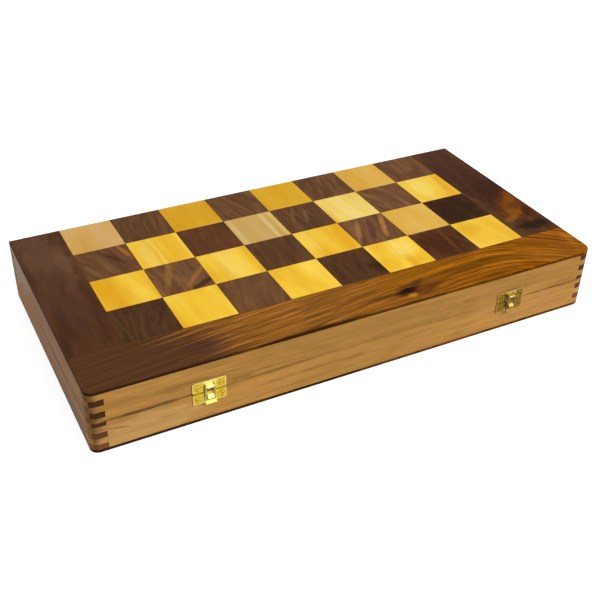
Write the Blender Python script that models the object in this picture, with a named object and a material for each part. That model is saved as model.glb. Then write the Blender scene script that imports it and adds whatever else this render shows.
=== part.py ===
"""Folding chess board, closed: two trays of one pattern, hinged at the back and clasped at the front.

Metres. +X runs along the board, +Y towards the hinges, +Z up. The origin is the middle of the
closed case's footprint, on the surface that it lies on.
"""

import math

import bmesh
import bpy
from mathutils import Matrix, Vector

# Chequered field
SQUARE = 0.0513
ROWS = 4
COLUMNS = 8
BORDER = 0.0488
SURFACE = 0.003

# Trays
TRAY_HEIGHT = 0.0311
WALL = 0.014
FACE_FINGER = 0.0055
FINGER = 0.006
LEAST_FINGER = 0.003
LEFT_RADIUS = 0.0075
RIGHT_RADIUS = 0.012
RADIUS_STEPS = 12
SURFACE_EASE = 0.0007
RIM_EASE = 0.0004
BASE = 0.003
REBATE = 0.007

# Clearances
GLUE = 0.0003
SEAM = 0.0003
OPEN_GAP = 0.0004
RUNNING = 0.00015
OVERRUN = 0.002
BITE = 0.0004
TOUCH = 0.00001

# Butt hinges
HINGE_FROM_END = 0.099
HINGE_LENGTH = 0.038
LEAF_WIDTH = 0.0105
LEAF = 0.001
BARREL_RADIUS = 0.0022
HINGE_PIN_RADIUS = 0.001
KNUCKLES = 5
KNUCKLE_GAP = 0.0003
ROUND_STEPS = 20

# Clasps
LEFT_CLASP_FROM_END = 0.102
RIGHT_CLASP_FROM_END = 0.097
PLATE_WIDTH = 0.030
PLATE_HEIGHT = 0.0109
PLATE_FROM_RIM = 0.0003
PLATE = 0.0007
PLATE_RADIUS = 0.0016
PIN_FROM_RIM = 0.0055
HASP_PIN_RADIUS = 0.0006
EYE_RADIUS = 0.0014
HASP_CLEARANCE = 0.0003
HASP_WIDTH = 0.0095
HASP_ARM = 0.0016
HASP = 0.0008
HASP_DROP = 0.0115
CROSSBAR = 0.0016
BEND_RADIUS = 0.0015
BEND_STEPS = 4
TAB = 0.0026
TAB_ANGLE = math.radians(38)
NOTCH_WIDTH = 0.0107
NOSE_WIDTH = 0.0053
NOSE_REACH = 0.0024
NOSE_TIP = 0.0008
NOSE_TOP_FROM_RIM = 0.0009
NOSE_CROWN = 0.0004
NOSE_STEPS = 4
PIERCED = 0.0026

# Shading
CREASE = math.radians(35)

# A tray is drawn with its face up, from the hinge axis, which lies on X just behind the back wall
LENGTH = COLUMNS * SQUARE + 2 * BORDER
DEPTH = ROWS * SQUARE + BORDER
BACK = -OPEN_GAP / 2
FRONT = BACK - DEPTH
FIELD_FRONT = BACK - ROWS * SQUARE
RIM = SEAM / 2
TOP = RIM + TRAY_HEIGHT
SURFACE_UNDER = TOP - SURFACE
WALL_TOP = SURFACE_UNDER - GLUE

# The clasp's pin, from the same axis
PLATE_FACE = FRONT - GLUE - PLATE
PIN_Y = PLATE_FACE - HASP_CLEARANCE - EYE_RADIUS
PIN_Z = RIM + PIN_FROM_RIM
WINDOW_WIDTH = HASP_WIDTH - 2 * HASP_ARM
NOSE_TOP = RIM + NOSE_TOP_FROM_RIM

DARK_WOOD = ("oiled dark rosewood", (0.075, 0.028, 0.018), 0.38, 0)
LIGHT_WOOD = ("polished golden boxwood", (0.62, 0.36, 0.10), 0.35, 0)
WALL_WOOD = ("tan hardwood", (0.44, 0.26, 0.12), 0.45, 0)
BRASS = ("pressed brass", (0.72, 0.52, 0.16), 0.25, 1)


def clear_scene():
    for thing in list(bpy.data.objects):
        bpy.data.objects.remove(thing)


def material(finish):
    """The finish's own material, made the first time it is asked for."""
    name, colour, roughness, metallic = finish
    if name in bpy.data.materials:
        return bpy.data.materials[name]
    made = bpy.data.materials.new(name)
    made.use_nodes = True
    shader = made.node_tree.nodes["Principled BSDF"]
    shader.inputs["Base Color"].default_value = (*colour, 1)
    shader.inputs["Roughness"].default_value = roughness
    shader.inputs["Metallic"].default_value = metallic
    return made


def solid(name, bm, finish=WALL_WOOD):
    """An object that holds this shape, with its normals facing out."""
    bmesh.ops.recalc_face_normals(bm, faces=bm.faces)
    mesh = bpy.data.meshes.new(name)
    bm.to_mesh(mesh)
    bm.free()
    mesh.materials.append(material(finish))
    made = bpy.data.objects.new(name, mesh)
    bpy.context.collection.objects.link(made)
    return made


def combine(body, tool, operation):
    """Joins the tool to the body, or cuts it away, and clears the tool."""
    change = body.modifiers.new(operation.title(), "BOOLEAN")
    change.operation = operation
    change.object = tool
    bpy.context.view_layer.update()
    shaped = body.evaluated_get(bpy.context.evaluated_depsgraph_get())
    mesh = bpy.data.meshes.new_from_object(shaped)
    body.modifiers.clear()
    body.data = mesh
    bpy.data.objects.remove(tool)


def cut(body, bm):
    combine(body, solid("cutter", bm), "DIFFERENCE")


def join(body, bm):
    combine(body, solid("addition", bm), "UNION")


def smooth_rounds(thing):
    """Smooth shading, with an edge kept wherever two faces turn by more than the crease."""
    thing.data.shade_smooth()
    thing.data.set_sharp_from_angle(angle=CREASE)


def box(low, high):
    """A box between two opposite corners."""
    bm = bmesh.new()
    low = Vector(low)
    high = Vector(high)
    place = Matrix.Translation((low + high) / 2)
    bmesh.ops.create_cube(bm, size=1, matrix=place @ Matrix.Diagonal((*(high - low), 1)))
    return bm


def prism(ring, travel, bm=None):
    """A solid whose end is the flat ring of places, pushed along travel, added to bm if given."""
    bm = bm or bmesh.new()
    face = bm.faces.new([bm.verts.new(place) for place in ring])
    pushed = bmesh.ops.extrude_face_region(bm, geom=[face])["geom"]
    corners = [item for item in pushed if isinstance(item, bmesh.types.BMVert)]
    bmesh.ops.translate(bm, vec=travel, verts=corners)
    return bm


def side_prism(outline, middle, width, bm=None):
    """A solid of this width along X, from a side outline of (y, z) points."""
    ring = [(middle - width / 2, y, z) for y, z in outline]
    return prism(ring, (width, 0, 0), bm)


def rod(radius, middle, width, y, z):
    """A round rod along X."""
    bm = bmesh.new()
    lie_down = Matrix.Translation((middle, y, z)) @ Matrix.Rotation(math.pi / 2, 4, "Y")
    bmesh.ops.create_cone(
        bm,
        cap_ends=True,
        segments=ROUND_STEPS,
        radius1=radius,
        radius2=radius,
        depth=width,
        matrix=lie_down,
    )
    return bm


def arc(radius, start, end, steps):
    """(y, z) points round a circle at the origin, with both ends."""
    turns = [start + (end - start) * step / steps for step in range(steps + 1)]
    return [(radius * math.cos(turn), radius * math.sin(turn)) for turn in turns]


def rolled_outline(radius, low, high, root):
    """A knuckle seen from its end: a round eye at the origin and the sheet that rolls into it.

    The sheet lies between the heights low and high and runs out to y = root, below zero.
    """
    start = math.pi - math.asin(high / radius)
    end = -math.pi - math.asin(low / radius)
    return [(root, high), *arc(radius, start, end, ROUND_STEPS), (root, low)]


def moved(outline, y, z):
    return [(y + across, z + up) for across, up in outline]


def corner_radii(turned):
    """The front corners' radii at the tray's own low and high ends of X."""
    return (RIGHT_RADIUS, LEFT_RADIUS) if turned else (LEFT_RADIUS, RIGHT_RADIUS)


def depth_in(place, radii):
    """How far a place lies inside the case's outline, which is rounded at the front corners."""
    radius = radii[place.x > 0]
    side = abs(place.x) - (LENGTH / 2 - radius)
    front = FRONT + radius - place.y
    if side > 0 and front > 0:
        return radius - math.hypot(side, front)
    return min(LENGTH / 2 - abs(place.x), place.y - FRONT)


def bevel(bm, edges, width, steps):
    bmesh.ops.bevel(
        bm, geom=edges, offset=width, segments=steps, profile=0.5, affect="EDGES", material=-1
    )


def on_front_corner(place):
    return abs(abs(place.x) - LENGTH / 2) < TOUCH and abs(place.y - FRONT) < TOUCH


def round_front_corners(bm, radii):
    """Rounds the upright edges that stand on the case's front corners."""
    for hand, radius in zip((-1, 1), radii):
        corners = [
            edge
            for edge in bm.edges
            if edge.verts[0].co.x * hand > 0
            and abs(edge.verts[0].co.x - edge.verts[1].co.x) < TOUCH
            and all(on_front_corner(vert.co) for vert in edge.verts)
        ]
        bevel(bm, corners, radius, RADIUS_STEPS)


def ease_outside(bm, height, width, radii):
    """Takes the sharpness off the outside edges at one height."""
    edges = [
        edge
        for edge in bm.edges
        if all(
            abs(vert.co.z - height) < TOUCH and abs(depth_in(vert.co, radii)) < TOUCH
            for vert in edge.verts
        )
    ]
    bevel(bm, edges, width, 2)


def finger_levels():
    """Heights at which the corner fingers change over, from the wall's top to its rim."""
    levels = [WALL_TOP, WALL_TOP - FACE_FINGER]
    while levels[-1] - FINGER > RIM + LEAST_FINGER:
        levels.append(levels[-1] - FINGER)
    return [*levels, RIM]


def wall_end(edge, inward, takes_top):
    """One stepped end of a wall, downwards, as (place along the wall, height) points."""
    levels = finger_levels()
    points = []
    for index, (top, bottom) in enumerate(zip(levels, levels[1:])):
        own = (index % 2 == 0) == takes_top
        place = edge if own else edge + inward * (WALL + GLUE)
        slack = GLUE / 2 if own else -GLUE / 2
        upper = top - slack if index else top
        lower = bottom + slack if bottom > RIM else bottom
        points += [(place, upper), (place, lower)]
    return points


def wall_outline(low, high, low_takes_top):
    """A wall seen face on. Its two ends take turns, so four like walls close a tray."""
    first = wall_end(low, 1, low_takes_top)
    second = wall_end(high, -1, not low_takes_top)
    return [*first, *reversed(second)]


def rebate_cutter():
    """The shallow seat round the walls' upper inside edge that takes the field panel."""
    keep = WALL - REBATE
    low = (-LENGTH / 2 + keep, FRONT + keep, WALL_TOP - BASE - GLUE)
    high = (LENGTH / 2 - keep, BACK - keep, WALL_TOP + OVERRUN)
    return box(low, high)


def hinge_places():
    reach = LENGTH / 2 - HINGE_FROM_END
    return {"left": -reach, "right": reach}


def clasp_places():
    return {
        "left": -LENGTH / 2 + LEFT_CLASP_FROM_END,
        "right": LENGTH / 2 - RIGHT_CLASP_FROM_END,
    }


def cut_hinge_seats(wall):
    """Lets both leaves into the rim and clears the barrels that lie along the corner."""
    reach = HINGE_LENGTH / 2 + GLUE
    for middle in hinge_places().values():
        low = (middle - reach, BACK - LEAF_WIDTH - GLUE, RIM - OVERRUN)
        high = (middle + reach, BACK + OVERRUN, RIM + LEAF + GLUE)
        cut(wall, box(low, high))
        cut(wall, rod(BARREL_RADIUS + GLUE, middle, 2 * reach, 0, 0))


def long_wall(name, face, takes_top, radii):
    """A front or back wall, from its outer or inner face inwards along +Y."""
    outline = wall_outline(-LENGTH / 2, LENGTH / 2, takes_top)
    bm = prism([(along, face, height) for along, height in outline], (0, WALL, 0))
    round_front_corners(bm, radii)
    ease_outside(bm, RIM, RIM_EASE, radii)
    wall = solid(name, bm)
    cut(wall, rebate_cutter())
    smooth_rounds(wall)
    return wall


def short_wall(name, face, takes_top, radii):
    """A side wall, from one face along +X."""
    outline = wall_outline(FRONT, BACK, takes_top)
    bm = prism([(face, along, height) for along, height in outline], (WALL, 0, 0))
    round_front_corners(bm, radii)
    ease_outside(bm, RIM, RIM_EASE, radii)
    wall = solid(name, bm)
    cut(wall, rebate_cutter())
    smooth_rounds(wall)
    return wall


def square_middle(row, column):
    """Where a square lies, counting rows from the hinge and columns from the tray's left."""
    x = (column + 0.5 - COLUMNS / 2) * SQUARE
    y = BACK - (row + 0.5) * SQUARE
    return Vector((x, y, 0))


def dark_square(row, column, panel_back, bm):
    """A dark square with the root that joins it to the panel. Behind the panel it lies on the wall."""
    middle = square_middle(row, column)
    half = (SQUARE - GLUE) / 2
    front = middle.y - half
    back = middle.y + half
    root = min(back, panel_back - GLUE)
    under = WALL_TOP - BASE / 2
    outline = [(front, under), (root, under), (root, TOP), (front, TOP)]
    if root < back:
        outline[2:3] = [(root, SURFACE_UNDER), (back, SURFACE_UNDER), (back, TOP)]
    side_prism(outline, middle.x, 2 * half, bm)


def field_panel(name):
    """The panel that closes the tray, with the dark squares that it carries."""
    keep = WALL - REBATE + GLUE
    panel_back = BACK - keep
    low = (-LENGTH / 2 + keep, FRONT + keep, WALL_TOP - BASE)
    high = (LENGTH / 2 - keep, panel_back, WALL_TOP)
    panel = solid(name, box(low, high), DARK_WOOD)
    squares = bmesh.new()
    for row in range(ROWS):
        for column in range(COLUMNS):
            if (row + column) % 2:
                dark_square(row, column, panel_back, squares)
    join(panel, squares)
    return panel


def front_border(name, radii):
    """The border strip along the front, from end to end of the tray."""
    low = (-LENGTH / 2, FRONT, SURFACE_UNDER)
    high = (LENGTH / 2, FIELD_FRONT - GLUE / 2, TOP)
    bm = box(low, high)
    round_front_corners(bm, radii)
    ease_outside(bm, TOP, SURFACE_EASE, radii)
    border = solid(name, bm, DARK_WOOD)
    smooth_rounds(border)
    return border


def end_border(name, hand, radii):
    """A border strip beside the squares, butted against the front strip."""
    outer = hand * LENGTH / 2
    inner = outer - hand * (BORDER - GLUE / 2)
    low = (min(outer, inner), FIELD_FRONT + GLUE / 2, SURFACE_UNDER)
    high = (max(outer, inner), BACK, TOP)
    bm = box(low, high)
    ease_outside(bm, TOP, SURFACE_EASE, radii)
    return solid(name, bm, DARK_WOOD)


def light_square_mesh():
    """The one shape that every light square shares, about the middle of its own square."""
    half = (SQUARE - GLUE) / 2
    square = solid("light_square", box((-half, -half, SURFACE_UNDER), (half, half, TOP)), LIGHT_WOOD)
    mesh = square.data
    bpy.data.objects.remove(square)
    return mesh


def light_squares(tray, turned, mesh):
    """The light squares, named by their row from the hinge and their column from the board's left."""
    made = []
    for row in range(ROWS):
        for column in range(COLUMNS):
            if (row + column) % 2:
                continue
            seen_column = COLUMNS - 1 - column if turned else column
            name = f"{tray}_light_square_r{row + 1}_c{seen_column + 1}"
            square = bpy.data.objects.new(name, mesh)
            bpy.context.collection.objects.link(square)
            square.location = square_middle(row, column)
            made.append(square)
    return made


def knuckle_spans(takes_first):
    """(middle, width) of one leaf's knuckles, every other one along the barrel."""
    width = (HINGE_LENGTH - (KNUCKLES - 1) * KNUCKLE_GAP) / KNUCKLES
    first = 0 if takes_first else 1
    pitch = width + KNUCKLE_GAP
    return [
        (-HINGE_LENGTH / 2 + index * pitch + width / 2, width)
        for index in range(first, KNUCKLES, 2)
    ]


def hinge_leaf(name, middle, takes_first):
    """One leaf, flush with the rim, with its knuckles rolled round the pin on the hinge axis."""
    edge = -BARREL_RADIUS - GLUE
    half = HINGE_LENGTH / 2
    low = (middle - half, BACK - LEAF_WIDTH, RIM)
    high = (middle + half, edge, RIM + LEAF)
    leaf = solid(name, box(low, high), BRASS)
    outline = rolled_outline(BARREL_RADIUS, RIM, RIM + LEAF, edge - BITE)
    knuckles = bmesh.new()
    for place, width in knuckle_spans(takes_first):
        side_prism(outline, middle + place, width, knuckles)
    join(leaf, knuckles)
    cut(leaf, rod(HINGE_PIN_RADIUS + RUNNING, middle, HINGE_LENGTH + OVERRUN, 0, 0))
    smooth_rounds(leaf)
    return leaf


def hinge_pin(name, middle):
    bm = rod(HINGE_PIN_RADIUS, middle, HINGE_LENGTH, 0, 0)
    pin = solid(name, bm, BRASS)
    smooth_rounds(pin)
    return pin


def clasp_plate(name, middle):
    """A flat plate with round corners, nailed to a front wall just clear of the rim."""
    half = PLATE_WIDTH / 2
    bottom = RIM + PLATE_FROM_RIM
    bm = box(
        (middle - half, PLATE_FACE, bottom), (middle + half, FRONT - GLUE, bottom + PLATE_HEIGHT)
    )
    through = [
        edge for edge in bm.edges if abs(edge.verts[0].co.y - edge.verts[1].co.y) > PLATE / 2
    ]
    bevel(bm, through, PLATE_RADIUS, 3)
    return solid(name, bm, BRASS)


def upper_clasp_plate(name, middle):
    """The plate that carries the hasp: its middle strip rolls over and holds the pin."""
    plate = clasp_plate(name, middle)
    notch = NOTCH_WIDTH / 2
    low = (middle - notch, PLATE_FACE - OVERRUN, RIM - OVERRUN)
    high = (middle + notch, FRONT, PIN_Z)
    cut(plate, box(low, high))
    root = PIN_Y - (PLATE_FACE + BITE)
    rolled = rolled_outline(EYE_RADIUS, EYE_RADIUS - PLATE, EYE_RADIUS, root)
    facing = [(-y, z) for y, z in rolled]
    knuckle = WINDOW_WIDTH - 2 * KNUCKLE_GAP
    join(plate, side_prism(moved(facing, PIN_Y, PIN_Z), middle, knuckle))
    join(plate, rod(HASP_PIN_RADIUS, middle, HASP_WIDTH, PIN_Y, PIN_Z))
    smooth_rounds(plate)
    return plate


def hasp_outline():
    """The hasp's sheet seen from its end, about the pin: straight down, then a flared thumb tab."""
    bend = -HASP_DROP - CROSSBAR
    inner = arc(BEND_RADIUS - HASP / 2, 0, -TAB_ANGLE, BEND_STEPS)
    outer = arc(BEND_RADIUS + HASP / 2, 0, -TAB_ANGLE, BEND_STEPS)
    inner = moved(inner, -BEND_RADIUS, bend)
    outer = moved(outer, -BEND_RADIUS, bend)
    along = Vector((-math.sin(TAB_ANGLE), -math.cos(TAB_ANGLE))) * TAB
    tip = [(inner[-1][0] + along.x, inner[-1][1] + along.y)]
    tip.append((outer[-1][0] + along.x, outer[-1][1] + along.y))
    return [(-HASP / 2, 0), *inner, *tip, *reversed(outer), (HASP / 2, 0)]


def hasp(name):
    """The swinging loop, drawn about its own pin: two eyes, two arms, a crossbar and a thumb tab."""
    loop = solid(name, side_prism(hasp_outline(), 0, HASP_WIDTH), BRASS)
    join(loop, rod(EYE_RADIUS, 0, HASP_WIDTH, 0, 0))
    cut(loop, rod(HASP_PIN_RADIUS + RUNNING, 0, HASP_WIDTH + OVERRUN, 0, 0))
    window = WINDOW_WIDTH / 2
    reach = EYE_RADIUS + OVERRUN
    cut(loop, box((-window, -reach, -HASP_DROP), (window, reach, reach)))
    smooth_rounds(loop)
    return loop


def nose_outline():
    """The catch's nose seen from its end. Its under side follows the hasp's swing about its pin."""
    swing = HASP_DROP - HASP_CLEARANCE
    root = PLATE_FACE + BITE
    tip = PIN_Y - NOSE_REACH
    points = []
    for step in range(NOSE_STEPS + 1):
        y = root + (tip - root) * step / NOSE_STEPS
        points.append((y, math.sqrt(swing**2 - (y - PIN_Y) ** 2) - PIN_Z))
    tip_top = points[-1][1] - NOSE_TIP
    ridge = (tip_top + NOSE_TOP) / 2
    return [*points, (tip, tip_top), ((tip + PLATE_FACE) / 2, ridge - NOSE_CROWN), (root, NOSE_TOP)]


def lower_clasp_plate(name, middle):
    """The catch: a plate with a nose for the hasp's loop, bent out of the slot beside it."""
    plate = clasp_plate(name, middle)
    nose = nose_outline()
    join(plate, side_prism(nose, middle, NOSE_WIDTH))
    start = nose[0][1] + BITE
    half = NOSE_WIDTH / 2
    low = (middle - half, PLATE_FACE - OVERRUN, start)
    high = (middle + half, FRONT, start + PIERCED)
    cut(plate, box(low, high))
    smooth_rounds(plate)
    return plate


def empty(name, location):
    made = bpy.data.objects.new(name, None)
    bpy.context.collection.objects.link(made)
    made.location = location
    made.empty_display_size = WALL
    return made


def build_tray(tray, carrier, turned, square_mesh):
    """One tray, hung on its carrier. The lower one is the same tray turned over about Y."""
    seen = {"left": "right", "right": "left"} if turned else {"left": "left", "right": "right"}
    radii = corner_radii(turned)
    back_wall = long_wall(f"{tray}_back_wall", BACK - WALL, False, radii)
    cut_hinge_seats(back_wall)
    pieces = [
        long_wall(f"{tray}_front_wall", FRONT, True, radii),
        back_wall,
        short_wall(f"{tray}_{seen['left']}_wall", -LENGTH / 2, False, radii),
        short_wall(f"{tray}_{seen['right']}_wall", LENGTH / 2 - WALL, True, radii),
        field_panel(f"{tray}_field_panel"),
        front_border(f"{tray}_front_border", radii),
        end_border(f"{tray}_{seen['left']}_border", -1, radii),
        end_border(f"{tray}_{seen['right']}_border", 1, radii),
    ]
    pieces += light_squares(tray, turned, square_mesh)
    hand = -1 if turned else 1
    for side, place in hinge_places().items():
        pieces.append(hinge_leaf(f"{tray}_{side}_hinge_leaf", hand * place, not turned))
    for piece in pieces:
        piece.parent = carrier


def main():
    clear_scene()
    axis = Vector((0, DEPTH / 2 - BACK, TOP))
    lower = empty("lower_tray", axis)
    lower.rotation_euler = (0, math.pi, 0)
    upper = empty("upper_tray", axis)
    square_mesh = light_square_mesh()
    build_tray("lower", lower, True, square_mesh)
    build_tray("upper", upper, False, square_mesh)
    for side, place in hinge_places().items():
        hinge_pin(f"{side}_hinge_pin", -place).parent = lower
    for side, place in clasp_places().items():
        upper_clasp_plate(f"{side}_clasp_plate", place).parent = upper
        lower_clasp_plate(f"{side}_clasp_catch", -place).parent = lower
        loop = hasp(f"{side}_clasp_hasp")
        loop.location = (place, PIN_Y, PIN_Z)
        loop.parent = upper


main()
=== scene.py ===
"""Folding chess board: timber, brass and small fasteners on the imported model, and the stage it is seen on."""

import math

import bmesh
import bpy
from bpy.props import FloatProperty, FloatVectorProperty, PointerProperty
from mathutils import Matrix, Vector


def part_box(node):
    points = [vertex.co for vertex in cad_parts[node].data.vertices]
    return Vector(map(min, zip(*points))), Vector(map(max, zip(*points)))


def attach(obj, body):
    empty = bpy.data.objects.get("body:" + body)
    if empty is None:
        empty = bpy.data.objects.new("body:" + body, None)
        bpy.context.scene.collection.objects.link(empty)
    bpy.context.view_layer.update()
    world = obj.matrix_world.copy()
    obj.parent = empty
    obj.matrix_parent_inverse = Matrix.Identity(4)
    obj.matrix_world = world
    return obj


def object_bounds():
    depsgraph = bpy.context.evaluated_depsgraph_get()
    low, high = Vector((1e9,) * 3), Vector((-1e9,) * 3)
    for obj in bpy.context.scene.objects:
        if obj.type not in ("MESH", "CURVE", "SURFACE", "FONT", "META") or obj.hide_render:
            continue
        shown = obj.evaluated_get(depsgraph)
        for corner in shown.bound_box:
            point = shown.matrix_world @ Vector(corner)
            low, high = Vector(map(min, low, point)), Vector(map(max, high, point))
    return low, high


bl_info = {
    "name": "Folding Chess Board",
    "version": (1, 0, 0),
    "blender": (4, 5, 0),
    "location": "3D View > Sidebar > Chess Board",
    "description": "Dresses the folding chess board in timber and brass and sets its stage",
    "category": "Object",
}

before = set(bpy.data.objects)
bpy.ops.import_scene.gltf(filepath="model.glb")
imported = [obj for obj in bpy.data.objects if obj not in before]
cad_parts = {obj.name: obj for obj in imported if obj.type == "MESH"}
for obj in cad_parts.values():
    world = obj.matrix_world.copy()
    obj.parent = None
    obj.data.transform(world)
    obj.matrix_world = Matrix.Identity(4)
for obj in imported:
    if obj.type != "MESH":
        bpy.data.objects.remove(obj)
CASE_LOW, CASE_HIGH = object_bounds()
CASE_MIDDLE = (Vector(CASE_LOW) + Vector(CASE_HIGH)) / 2

MM = 0.001
PER_MM = 1000
TRAYS = ("upper", "lower")
SIDES = ("left", "right")

# The inlaid field, read from the frame
FIRST_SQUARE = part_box("upper_light_square_r1_c1")
NEXT_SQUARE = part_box("upper_light_square_r1_c3")
SQUARE = (NEXT_SQUARE[0].x - FIRST_SQUARE[0].x) / 2
JOINT = SQUARE - (FIRST_SQUARE[1].x - FIRST_SQUARE[0].x)
SURFACE = FIRST_SQUARE[1].z - FIRST_SQUARE[0].z
ROWS = 4
COLUMNS = 8
FIELD_LEFT = FIRST_SQUARE[0].x - JOINT / 2
FIELD_BACK = FIRST_SQUARE[1].y + JOINT / 2
FIELD_FRONT = FIELD_BACK - ROWS * SQUARE


def paint(text):
    """A linear colour from an sRGB hex value."""
    shares = [int(text[place : place + 2], 16) / 255 for place in (1, 3, 5)]
    linear = [s / 12.92 if s <= 0.04045 else ((s + 0.055) / 1.055) ** 2.4 for s in shares]
    return (*linear, 1)


def tint(label, says, text):
    """A colour that a user can change, from its label, its description and an sRGB hex value."""
    return FloatVectorProperty(name=label, description=says, subtype="COLOR", size=4, default=paint(text))


class ChessBoardColours(bpy.types.PropertyGroup):
    """The colours that a user would change."""

    rosewood: tint("Rosewood squares", "Middle tone of the dark squares", "#624128")
    strip_rosewood: tint(
        "Rosewood strips",
        "Middle tone of the end border strips and of the front strip's heartwood",
        "#51321d",
    )
    brown_sapwood: tint("Brown sapwood", "Middle tone of the front strip beside its heartwood", "#915c22")
    sapwood: tint("Orange sapwood", "Middle tone of the front strip towards its right end", "#935608")
    golden_boxwood: tint("Golden boxwood", "Middle tone of most light squares", "#edbe31")
    pale_boxwood: tint("Pale boxwood", "Middle tone of the palest light squares", "#ebcc67")
    honey_boxwood: tint("Honey boxwood", "Middle tone of the honey-coloured light squares", "#d8a73f")
    deep_boxwood: tint("Deep boxwood", "Middle tone of the darker light squares", "#d49d16")
    tan_boxwood: tint("Tan boxwood", "Middle tone of the greyer light squares", "#cfa153")
    hardwood: tint("Wall hardwood", "Middle tone of the tray walls", "#b08240")
    end_hardwood: tint("End wall hardwood", "Middle tone of the short walls", "#a97338")
    end_grain: tint("End grain", "Middle tone of the dark finger ends of the short walls", "#4d2d18")
    ply: tint("Ply", "Middle tone of the panel inside the trays", "#c69c68")
    wax: tint("Joint wax", "Brown wax between the squares and the strips", "#6d4526")
    brass: tint("Brass", "Pressed brass of the clasps and hinges", "#d0b434")
    tarnish: tint("Tarnish", "Shade that dulls the brass of the right clasp", "#aa9b8e")
    # Pale front rims and knuckles: rubbing wear and a painted highlight
    worn_and_highlit_brass: tint("Worn brass", "Rims and knuckles of the clasps, rubbed pale", "#e2d086")
    hasp_brass: tint("Hasp brass", "Hasps of the clasps, rubbed smooth", "#b79c48")
    nail_brass: tint("Nail brass", "Tarnished heads of the nails and screws", "#8f8226")
    floor: tint("Floor", "Plain pale floor under the board", "#b0b0b0")


class ChessBoardSizes(bpy.types.PropertyGroup):
    """The sizes that a user would change."""

    streak: FloatProperty(
        name="Rosewood streak",
        description="Width of one dark or light streak of the rosewood",
        unit="LENGTH",
        default=5 * MM,
    )
    band: FloatProperty(
        name="Boxwood band",
        description="Width of one soft band of the boxwood",
        unit="LENGTH",
        default=24 * MM,
    )
    wall_band: FloatProperty(
        name="Wall band",
        description="Width of one band of the wall timber",
        unit="LENGTH",
        default=4.5 * MM,
    )
    nail_radius: FloatProperty(
        name="Nail head radius",
        description="Radius of the domed heads of the clasp nails",
        unit="LENGTH",
        default=0.9 * MM,
    )
    screw_radius: FloatProperty(
        name="Screw head radius",
        description="Radius of the flat heads of the hinge screws",
        unit="LENGTH",
        default=1.7 * MM,
    )
    lens: FloatProperty(
        name="Camera lens",
        description="Focal length that gives the photograph's perspective",
        unit="CAMERA",
        default=55.478,
    )


def colours():
    return bpy.context.scene.chess_board_colours


def sizes():
    return bpy.context.scene.chess_board_sizes


# Materials

MATH = "ShaderNodeMath"
VECTOR = "ShaderNodeVectorMath"
RANGE = "ShaderNodeMapRange"
MIX = "ShaderNodeMix"
NOISE = "ShaderNodeTexNoise"
RAMP = "ShaderNodeValToRGB"
PLACE = "ShaderNodeMapping"


def add(tree, kind, sockets=(), stops=(), **settings):
    """Adds a node with its settings. Each socket takes a value or another node's first live output."""
    made = tree.nodes.new(kind)
    for name, value in settings.items():
        setattr(made, name, value)
    for place, (share, shade) in enumerate(stops):
        steps = made.color_ramp.elements
        step = steps[place] if place < 2 else steps.new(share)
        step.position = share
        step.color = shade
    live = [socket for socket in made.inputs if socket.enabled]
    for name, value in dict(sockets).items():
        socket = live[name] if isinstance(name, int) else next(s for s in live if s.name == name)
        if isinstance(value, bpy.types.Node):
            value = next(output for output in value.outputs if output.enabled)
        if isinstance(value, bpy.types.NodeSocket):
            tree.links.new(value, socket)
        else:
            socket.default_value = value
    return made


def start_material(name, roughness, metallic=0.0):
    """An empty material with its shader, and the piece's own coordinates."""
    made = bpy.data.materials.new(name)
    made.use_nodes = True
    tree = made.node_tree
    shader = tree.nodes["Principled BSDF"]
    shader.inputs["Roughness"].default_value = roughness
    shader.inputs["Metallic"].default_value = metallic
    place = add(tree, "ShaderNodeTexCoord").outputs["Object"]
    return made, tree, shader, place


def shades(colour, *pairs):
    """Ramp stops that hold one colour at several strengths, as (place, strength) pairs."""
    return [(share, (*[level * strength for level in colour[:3]], 1)) for share, strength in pairs]


def figure(tree, place, width, length, axis, detail=3.0):
    """Timber figure as a noise of bands this wide and this long, which run along X, Y or Z."""
    stretch = [1 / width] * 3
    stretch["XYZ".index(axis)] = 1 / length
    laid = add(tree, PLACE, {"Vector": place, "Scale": stretch})
    return add(tree, NOISE, {"Vector": laid, "Scale": 1.0, "Detail": detail, "Roughness": 0.55})


def bent(tree, place, width, reach):
    """Coordinates pushed about by a slow noise, so that straight figure wanders."""
    slow = add(tree, NOISE, {"Vector": place, "Scale": 1 / width, "Detail": 1.0})
    centred = add(tree, VECTOR, {0: slow.outputs["Color"], 1: (0.5,) * 3}, operation="SUBTRACT")
    pushed = add(tree, VECTOR, {0: centred, "Scale": reach}, operation="SCALE")
    return add(tree, VECTOR, {0: place, 1: pushed}, operation="ADD")


def lined(tree, colour, lines, low, high, darkest):
    """The colour darkened by thin lines of figure, down to darkest at their middle."""
    shade = add(tree, RANGE, {"Value": lines, "From Min": low, "From Max": high, "To Min": darkest})
    return add(tree, VECTOR, {0: colour, "Scale": shade}, operation="SCALE")


def patched(tree, colour, place, patches, rough, torn):
    """Adds oval patches, each (middle, size, turn, tone, strength), their edges torn by a noise."""
    for middle, size, turn, tone, strength in patches:
        laid = add(
            tree,
            PLACE,
            {
                "Vector": place,
                "Location": (middle[0] * MM, middle[1] * MM, 0),
                "Rotation": (0, 0, math.radians(turn)),
                "Scale": (size[0] * MM, size[1] * MM, 1),
            },
            vector_type="TEXTURE",
        )
        away = add(tree, VECTOR, {0: laid}, operation="LENGTH").outputs["Value"]
        away = add(tree, MATH, {0: rough, 1: torn, 2: away}, operation="MULTIPLY_ADD")
        mask = add(
            tree,
            RANGE,
            {"Value": away, "From Min": 1.0 + torn / 2, "From Max": 0.3 + torn / 2, "To Max": strength},
            interpolation_type="SMOOTHSTEP",
        )
        colour = add(tree, MIX, {"Factor": mask, "A": colour, "B": paint(tone)}, data_type="RGBA")
    return colour


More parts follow.
